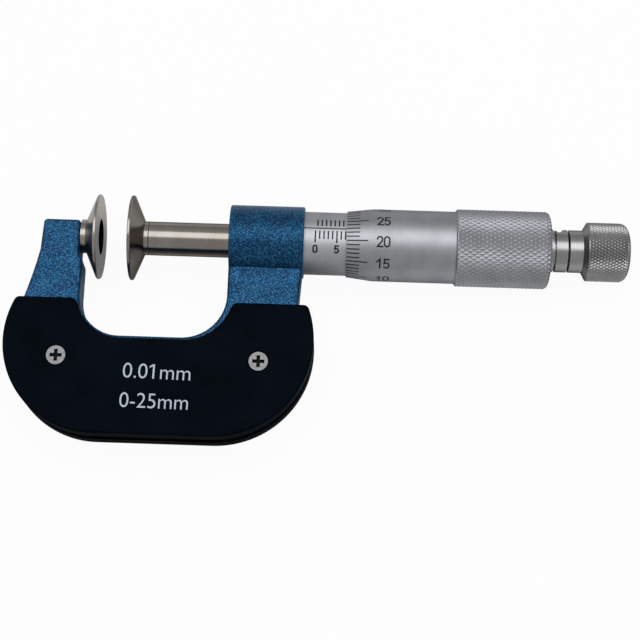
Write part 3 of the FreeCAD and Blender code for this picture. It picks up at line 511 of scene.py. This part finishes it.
def stroke_edges(points, stroke):
    """The two edges of an even stroke, mitred at its corners and square at its ends."""
    closed = (points[0] - points[-1]).length < stroke / 4
    edges = []
    for k, point in enumerate(points):
        back = points[k - 1] if k else (points[-2] if closed else None)
        ahead = points[k + 1] if k + 1 < len(points) else (points[1] if closed else None)
        into = (point - back).normalized() if back is not None else None
        away = (ahead - point).normalized() if ahead is not None else None
        heading = ((into or away) + (away or into)).normalized()
        side = Vector((-heading.y, heading.x))
        leaving = away or into
        reach = stroke / 2 / max(SHARPEST_MITRE, side.dot(Vector((-leaving.y, leaving.x))))
        if back is None:
            point = point - away * stroke / 2
        if ahead is None:
            point = point + into * stroke / 2
        edges.append((point + side * reach, point - side * reach))
    return edges


def figures_on(bm, number, middle_x, middle_angle, height, stroke, radius):
    """A number cut as single strokes of even width on a round surface, read along the axis."""
    width = (len(number) - 1) * FIGURE_ADVANCE + FIGURE_WIDTH
    for order, figure in enumerate(number):
        left = order * FIGURE_ADVANCE - width / 2
        points = [Vector(((x + left) * FIGURE_NARROW, y - 0.5)) * height for x, y in FIGURES[figure]]
        rows = [
            [on_round(bm, middle_x + spot.x, middle_angle + spot.y / radius, radius) for spot in pair]
            for pair in stroke_edges(finer(points, STROKE_STEP), stroke)
        ]
        for here, after in zip(rows, rows[1:]):
            bm.faces.new((here[0], here[1], after[1], after[0]))


def mesh_of(bm, name):
    """Closes a bmesh into a mesh."""
    mesh = bpy.data.meshes.new(name)
    bm.normal_update()
    bm.to_mesh(mesh)
    bm.free()
    return mesh


def sleeve_surface(x):
    """How far the sleeve's marks are from the axis, which is the same all along it."""
    return SLEEVE_RADIUS + MARK_LIFT


def sleeve_mark(bm, x, foot, head):
    """One mark on the sleeve, from one angle round it to another, in degrees."""
    ends = (x - SLEEVE_MARK / 2, x + SLEEVE_MARK / 2)
    fill_strip(bm, ends, (math.radians(foot), math.radians(head)), sleeve_surface)


mark_black = grained_finish(
    "engraving_black", 0.18 * MM, linear(6, 6, 8), linear(17, 17, 20), (0.45, 0.65), 0.004 * MM, shine=0.3
)
bm = bmesh.new()
fill_strip(bm, (LINE_START, LINE_END), (LINE_ANGLE - HALF_LINE, LINE_ANGLE + HALF_LINE), sleeve_surface)
for millimetre in range(RANGE + 1):
    x = ZERO_PLACE + millimetre * MM
    if millimetre % 5 == 0:
        sleeve_mark(bm, x, FIFTH_MARK_FOOT, MARK_HEAD)
        figures_on(bm, str(millimetre), x, NUMBER_ANGLE, NUMBER_HEIGHT, NUMBER_STROKE, sleeve_surface(x))
    else:
        sleeve_mark(bm, x, MARK_FOOT, MARK_HEAD)
    if millimetre < RANGE:
        sleeve_mark(bm, x + 0.5 * MM, HALF_MARK_FOOT, HALF_MARK_HEAD)
new_piece("sleeve_scale", mesh_of(bm, "sleeve_scale"), "bow", mark_black)

# Spindle and its disc: hardened steel. The spindle is ground all along the part that slides in the
# barrel. The disc is turned, ground and lapped like the fixed one, and faces it across the gap.
disc_steel = turned_metal("moving_disc_steel", *GROUND_LOOK)
# Painted shade in the moving disc's recess, as on the fixed one.
darkened_recess(disc_steel, READING + FACE_SKIN, READING + RECESS_DEPTH)
dressed(nodes["spindle"], ground_steel)
dressed(nodes["spindle_disc"], disc_steel)

# Thimble: a steel drum over the sleeve with a bevelled edge for its scale and a knurled grip, all in
# satin chrome. The knurl is rolled in: two families of slanting grooves that leave rows of diamonds.
AROUND = 160
CRISP_ANGLE = math.radians(24)
KNURL_FINISH = 1
DRUM_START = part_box("thimble")[0].x / MM
DRUM_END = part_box("thimble")[1].x / MM
GRIP_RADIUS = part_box("thimble")[1].y / MM
DRUM_RADIUS = 8.50
BORE_RADIUS, BORE_END = 7.50, DRUM_START + 34.58
SEAT_WIDE, SEAT_NARROW, SEAT_END = 4.01, 3.31, DRUM_END - 3.57
BEVEL_END = DRUM_START + 6.25
GRIP_START = DRUM_START + 25.89
# Through the bore and the seat to the rear, round the grip's rear edge, and forward to the bevel.
DRUM_CORNERS = (
    (DRUM_START, BORE_RADIUS),
    (BORE_END, BORE_RADIUS),
    (BORE_END, SEAT_WIDE),
    (SEAT_END, SEAT_NARROW),
    (DRUM_END, SEAT_NARROW),
    (DRUM_END, 6.90),
    (DRUM_END - 0.40, 6.92),
    (DRUM_END - 0.70, 8.20),
    (DRUM_END - 1.15, GRIP_RADIUS - 0.30),
    (GRIP_START + 0.06, GRIP_RADIUS - 0.30),
    (GRIP_START, GRIP_RADIUS - 0.10),
    (GRIP_START - 0.10, GRIP_RADIUS - 0.12),
    (GRIP_START - 0.44, DRUM_RADIUS + 0.12),
    (GRIP_START - 0.46, DRUM_RADIUS),
    (BEVEL_END, DRUM_RADIUS),
    (DRUM_START + 0.05, 7.73),
    (DRUM_START, 7.68),
)
DRUM_RIDGE = (
    (GRIP_START, GRIP_RADIUS),
    (DRUM_END - 0.95, GRIP_RADIUS),
    (DRUM_END - 0.285, 8.47),
    (DRUM_END - 0.01, 7.02),
)
DRUM_KNURL = {"half_rows": 25, "around": 50, "depth": 0.21, "flat": 0.22}

satin_chrome = turned_metal(
    "satin_chrome", linear(150, 153, 157), linear(165, 168, 172), (0.42, 0.50), CHROME_RING, CHROME_RELIEF
)
knurled_chrome = turned_metal(
    "knurled_satin_chrome",
    linear(154, 157, 160),
    linear(174, 177, 180),
    (0.20, 0.28),
    CHROME_RING,
    CHROME_RELIEF,
    0.6,
)


def turned_shape(bm, corners):
    """A closed shape turned about the spindle's axis, from (place along, radius) corners in mm."""
    turns = [2 * math.pi * k / AROUND for k in range(AROUND)]
    loops = [[on_round(bm, x * MM, turn, radius * MM) for turn in turns] for x, radius in corners]
    for near, far in zip(loops, loops[1:] + loops[:1]):
        for k in range(AROUND):
            after = (k + 1) % AROUND
            bm.faces.new((near[k], near[after], far[after], far[k])).smooth = True


def place_on(corners, distance):
    """A place that far along a path of (place, radius) corners, and the outward direction there."""
    for (x0, r0), (x1, r1) in zip(corners, corners[1:]):
        length = math.hypot(x1 - x0, r1 - r0)
        if distance <= length + 1e-9 or (x1, r1) == corners[-1]:
            part = min(1.0, distance / length)
            spot = Vector((x0 + (x1 - x0) * part, r0 + (r1 - r0) * part))
            return spot, Vector((r0 - r1, x1 - x0)) / length
        distance -= length


def knurled_band(bm, ridge, half_rows, around, depth, flat):
    """Rows of low diamonds, staggered row by row, along a turned ridge line.

    The grooves between them are depth deep in mm, and a diamond's flat top is flat times its own size.
    """
    whole = sum(math.dist(here, after) for here, after in zip(ridge, ridge[1:]))
    turn = math.pi / around

    def spot(row, step, sunk):
        level, out = place_on(ridge, min(whole, max(0.0, whole * row / half_rows)))
        level = (level - out * sunk) * MM
        return on_round(bm, level.x, step * turn, level.y)

    def side(*corners):
        bm.faces.new(corners).material_index = KNURL_FINISH

    steps = [(row, k) for row in range(half_rows + 1) for k in range(2 * around)]
    foot = {(row, k): spot(row, k, depth) for row, k in steps if (row + k) % 2 == 0}
    for row, k in steps:
        if (row, k) in foot:
            continue
        below = foot[row, (k - 1) % (2 * around)]
        above = foot[row, (k + 1) % (2 * around)]
        low = spot(row, k - flat, 0.0)
        high = spot(row, k + flat, 0.0)
        top = [low, high]
        if row > 0:
            near = spot(row - flat, k, 0.0)
            behind = foot[row - 1, k]
            side(behind, below, low, near)
            side(above, behind, near, high)
            top = [low, high, near]
        else:
            side(below, above, high, low)
        if row < half_rows:
            far = spot(row + flat, k, 0.0)
            ahead = foot[row + 1, k]
            side(below, ahead, far, low)
            side(ahead, above, high, far)
            top = [low, far, high] + top[2:]
        else:
            side(above, below, low, high)
        side(*top)


def knurled_piece(name, corners, ridge, knurl, body, finish):
    """A turned piece with a knurled band round it, which has the knurl's own finish."""
    bm = bmesh.new()
    turned_shape(bm, corners)
    knurled_band(bm, ridge, **knurl)
    bmesh.ops.recalc_face_normals(bm, faces=bm.faces)
    mesh = mesh_of(bm, name)
    mesh.set_sharp_from_angle(angle=CRISP_ANGLE)
    piece = new_piece(name, mesh, body, finish)
    piece.data.materials.append(knurled_chrome)
    return piece


drum = knurled_piece("thimble_drum", DRUM_CORNERS, DRUM_RIDGE, DRUM_KNURL, "spindle_group", satin_chrome)
dressed(nodes["thimble"], satin_chrome)
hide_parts("thimble")

# Thimble scale: fifty lines cut along the bevelled edge and filled with black, each fifth one longer,
# with its number beyond on the drum. A line is a hundredth of a millimetre of travel.
DIVISIONS = 50
LINE_AT_REST = round(READING / MM % 0.5 * 100)
BEVEL_FOOT = 7.72
BEVEL_MIDDLE = 8.1 * MM
THIMBLE_LINE = 0.29 * MM
THIMBLE_LINE_START = (DRUM_START + 0.10) * MM
THIMBLE_LINE_END = (DRUM_START + 3.10) * MM
FIFTH_LINE_END = (DRUM_START + 5.00) * MM
THIMBLE_NUMBER_PLACE = (DRUM_START + 8.60) * MM
THIMBLE_NUMBER_HEIGHT = 2.3 * MM
THIMBLE_NUMBER_STROKE = 0.37 * MM
THIMBLE_NUMBER_DROP = math.radians(1)


def drum_surface(x):
    """How far the thimble's marks are from the axis, on the bevel and on the drum behind it."""
    part = min(1.0, max(0.0, (x / MM - DRUM_START) / (BEVEL_END - DRUM_START)))
    return (BEVEL_FOOT + (DRUM_RADIUS - BEVEL_FOOT) * part) * MM + MARK_LIFT


bm = bmesh.new()
half_line = THIMBLE_LINE / 2 / BEVEL_MIDDLE
for line in range(DIVISIONS):
    angle = LINE_ANGLE + 2 * math.pi * (line - LINE_AT_REST) / DIVISIONS
    end = FIFTH_LINE_END if line % 5 == 0 else THIMBLE_LINE_END
    fill_strip(bm, (THIMBLE_LINE_START, end), (angle - half_line, angle + half_line), drum_surface)
    if line % 5 == 0:
        figures_on(
            bm,
            str(line),
            THIMBLE_NUMBER_PLACE,
            angle - THIMBLE_NUMBER_DROP,
            THIMBLE_NUMBER_HEIGHT,
            THIMBLE_NUMBER_STROKE,
            drum_surface(THIMBLE_NUMBER_PLACE),
        )
new_piece("thimble_scale", mesh_of(bm, "thimble_scale"), "spindle_group", mark_black)

# Ratchet body: a turned flange with a groove, screwed into the spindle and clamping the thimble. It is
# plain chrome outside. Inside the knob, its shaft carries the key, the driving wheel and the spring.
turned_chrome = turned_metal(
    "turned_chrome", linear(144, 144, 145), linear(160, 160, 161), (0.24, 0.32), CHROME_RING, CHROME_RELIEF
)
dressed(nodes["ratchet_body"], turned_chrome)
for name in ("ratchet_driver_wheel", "ratchet_knob_wheel"):
    dressed(nodes[name], barrel_steel)

# Key and spring: drawn steel wire, bright and lightly oiled, out of sight in the knob. The key goes
# across the shaft and drives the toothed wheel, which the spring presses to the knob's wheel.
spring_wire = grained_finish(
    "drawn_spring_wire",
    0.3 * MM,
    linear(96, 96, 100),
    linear(150, 150, 154),
    (0.2, 0.36),
    0.004 * MM,
    1.0,
)
for name in ("ratchet_key_pin", "ratchet_spring"):
    dressed(nodes[name], spring_wire)

# Ratchet knob: turned hollow in steel, with a plain neck, a cone and a finely knurled rim, in chrome.
# It turns loose on the ratchet body's shaft, and its own toothed wheel is pressed into it.
NECK_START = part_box("ratchet_knob")[0].x / MM
KNOB_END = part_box("ratchet_knob")[1].x / MM
RIM_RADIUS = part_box("ratchet_knob")[1].y / MM
NECK_RADIUS = 5.00
RIM_START = NECK_START + 4.36
HOLLOW_RADIUS, HOLLOW_END = 4.30, KNOB_END - 5.30
SHAFT_HOLE = 2.05
SCREW_HOLE, SCREW_SEAT = 3.20, KNOB_END - 1.80
# Through the hollow to the end screw's seat, over the end, and forward along the rim, cone and neck.
KNOB_CORNERS = (
    (NECK_START, HOLLOW_RADIUS),
    (HOLLOW_END, HOLLOW_RADIUS),
    (HOLLOW_END, SHAFT_HOLE),
    (SCREW_SEAT, SHAFT_HOLE),
    (SCREW_SEAT, SCREW_HOLE),
    (KNOB_END, SCREW_HOLE),
    (KNOB_END, 4.70),
    (KNOB_END - 0.28, 5.48),
    (KNOB_END - 0.64, 6.10),
    (KNOB_END - 0.90, 6.00),
    (KNOB_END - 1.32, 6.42),
    (KNOB_END - 1.98, RIM_RADIUS - 0.25),
    (RIM_START + 0.04, RIM_RADIUS - 0.25),
    (RIM_START - 0.02, RIM_RADIUS - 0.07),
    (RIM_START - 0.18, RIM_RADIUS - 0.13),
    (RIM_START - 1.21, NECK_RADIUS),
    (NECK_START + 0.08, NECK_RADIUS),
    (NECK_START, NECK_RADIUS - 0.08),
)
KNOB_RIDGE = (
    (RIM_START, RIM_RADIUS),
    (KNOB_END - 1.90, RIM_RADIUS),
    (KNOB_END - 1.20, 6.64),
    (KNOB_END - 0.72, 6.20),
)
KNOB_KNURL = {"half_rows": 13, "around": 56, "depth": 0.23, "flat": 0.27}

knob = knurled_piece(
    "ratchet_knob_shell", KNOB_CORNERS, KNOB_RIDGE, KNOB_KNURL, "knob_group", turned_chrome
)
dressed(nodes["ratchet_knob"], turned_chrome)
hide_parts("ratchet_knob")

# End screw: a small slotted steel screw, zinc plated, that is screwed into the end of the shaft and
# keeps the knob on it. Its head lies in the knob's end.
end_zinc = grained_finish(
    "end_screw_zinc_plate",
    0.4 * MM,
    linear(128, 129, 132),
    linear(152, 153, 156),
    (0.36, 0.48),
    0.006 * MM,
    1.0,
)
dressed(nodes["knob_screw"], end_zinc)

# Floor: a plain pale table, white behind the instrument, that keeps its soft shadow. In the metal's
# mirror image the table carries a painted shadow beside and below the bow, as it is shaded in the
# photograph.
FLOOR_HALF = 4.0
FLOOR_PLACE = cad_box[0][2] - 0.02 * MM
FLOOR_MOTTLE = 40 * MM
SHADE_FRONT = (-11 * MM, -17 * MM)
SHADE_LEFT = (-45 * MM, -25 * MM)
SHADE_RIGHT = (62 * MM, 50 * MM)
WHITE = (1.0, 1.0, 1.0, 1.0)


def rising(tree, amount, start, end):
    """Goes softly from 0 to 1 as the amount goes from start to end."""
    spread = tree.nodes.new("ShaderNodeMapRange")
    spread.interpolation_type = "SMOOTHSTEP"
    spread.inputs["From Min"].default_value = start
    spread.inputs["From Max"].default_value = end
    tree.links.new(amount, spread.inputs["Value"])
    return spread.outputs["Result"]


floor_finish, tree, shader, place = new_finish("pale_floor")
mottle = lumps(tree, place, FLOOR_MOTTLE)
table = shades(tree, mottle, (0.2, linear(240, 240, 240)), (0.8, linear(246, 246, 246)))
tree.links.new(table, shader.inputs["Base Color"])
shader.inputs["Roughness"].default_value = 0.9
shader.inputs["Specular IOR Level"].default_value = 0.0
seen = tree.nodes.new("ShaderNodeLightPath").outputs
in_metal = worked_out(tree, "MAXIMUM", seen["Is Glossy Ray"], seen["Is Transmission Ray"])
on_table = split(tree, place)
painted_shadow_below_bow = product(
    tree,
    rising(tree, on_table["Y"], *SHADE_FRONT),
    rising(tree, on_table["X"], *SHADE_LEFT),
    rising(tree, on_table["X"], *SHADE_RIGHT),
)
# Painted shadow: in glossy and transmission rays the table is painted dark grey beside and below the bow.
painted_over(tree, shader, product(tree, in_metal, painted_shadow_below_bow), linear(40, 40, 42))
glow = tree.nodes.new("ShaderNodeEmission")
glow.inputs["Color"].default_value = WHITE
glow.inputs["Strength"].default_value = 1.0
to_camera = worked_out(tree, "MULTIPLY", seen["Is Camera Ray"], 0.95)
to_metal = worked_out(tree, "MULTIPLY", in_metal, 0.10)
blend = tree.nodes.new("ShaderNodeMixShader")
tree.links.new(worked_out(tree, "MAXIMUM", to_camera, to_metal), blend.inputs["Fac"])
tree.links.new(shader.outputs["BSDF"], blend.inputs[1])
tree.links.new(glow.outputs["Emission"], blend.inputs[2])
tree.links.new(blend.outputs["Shader"], tree.nodes["Material Output"].inputs["Surface"])
floor_mesh = bpy.data.meshes.new("floor")
corners = [(x * FLOOR_HALF, y * FLOOR_HALF, FLOOR_PLACE) for x, y in ((-1, -1), (1, -1), (1, 1), (-1, 1))]
floor_mesh.from_pydata(corners, [], [(0, 1, 2, 3)])
floor = bpy.data.objects.new("floor", floor_mesh)
bpy.context.scene.collection.objects.link(floor)
dressed(floor, floor_finish)

# Studio: a grey room, darkest behind the spindle side, seen by metal and gloss, with a weak even light
# for everything else. One wide soft box hangs over the instrument, leaning to the spindle side.
ROOM_LIGHT = (0.40, 0.40, 0.40, 1.0)
BOX_TARGET = Vector((0.06, 0.0, 0.0))
BOX_TILT = math.radians(13.5)
BOX_DISTANCE = 0.8
BOX_SIZE = (0.55, 1.4)
BOX_POWER = 4.8

world = bpy.data.worlds.new("studio")
bpy.context.scene.world = world
world.use_nodes = True
tree = world.node_tree
sky = tree.nodes["Background"]
aim = tree.nodes.new("ShaderNodeTexCoord").outputs["Generated"]
walls = shades(
    tree,
    worked_out(tree, "MULTIPLY_ADD", split(tree, aim)["Y"], 0.5, 0.5),
    (0.0, (0.56, 0.55, 0.54, 1)),
    (0.87, (0.54, 0.53, 0.52, 1)),
    (0.98, (0.42, 0.41, 0.41, 1)),
    (1.0, (0.38, 0.37, 0.37, 1)),
)
seen = tree.nodes.new("ShaderNodeLightPath").outputs
room = mixed(tree, seen["Is Diffuse Ray"], walls, ROOM_LIGHT)
tree.links.new(mixed(tree, seen["Is Camera Ray"], room, WHITE), sky.inputs["Color"])
sky.inputs["Strength"].default_value = 1.0

light = bpy.data.lights.new("key_box", "AREA")
light.shape = "RECTANGLE"
light.size, light.size_y = BOX_SIZE
light.energy = BOX_POWER
box = bpy.data.objects.new("key_box", light)
bpy.context.scene.collection.objects.link(box)
away = Vector((0.0, math.sin(BOX_TILT), math.cos(BOX_TILT)))
facing = away.to_track_quat("Z", "X").to_matrix().to_4x4()
box.matrix_world = Matrix.Translation(BOX_TARGET + away * BOX_DISTANCE) @ facing

# Camera: where the photograph was taken from, nearly overhead and a little to the bow's side. Its place
# and lens were fitted to the sleeve's and the thimble's lines, the discs and the bow's outline.
CAMERA_PLACE = (0.05761, -0.12230, 0.38688)
CAMERA_TURN = (15.01746, 0.25056, 1.95390)
LENS = 96.645
SENSOR = 36.0

camera = bpy.data.objects.new("camera", bpy.data.cameras.new("camera"))
bpy.context.scene.collection.objects.link(camera)
camera.data.sensor_width = SENSOR
camera.data.lens = LENS
camera.data.clip_start = 0.01
turn = Euler([math.radians(degrees) for degrees in CAMERA_TURN])
camera.matrix_world = Matrix.Translation(CAMERA_PLACE) @ turn.to_matrix().to_4x4()
bpy.context.scene.camera = camera
bpy.context.scene.view_settings.view_transform = "Standard"
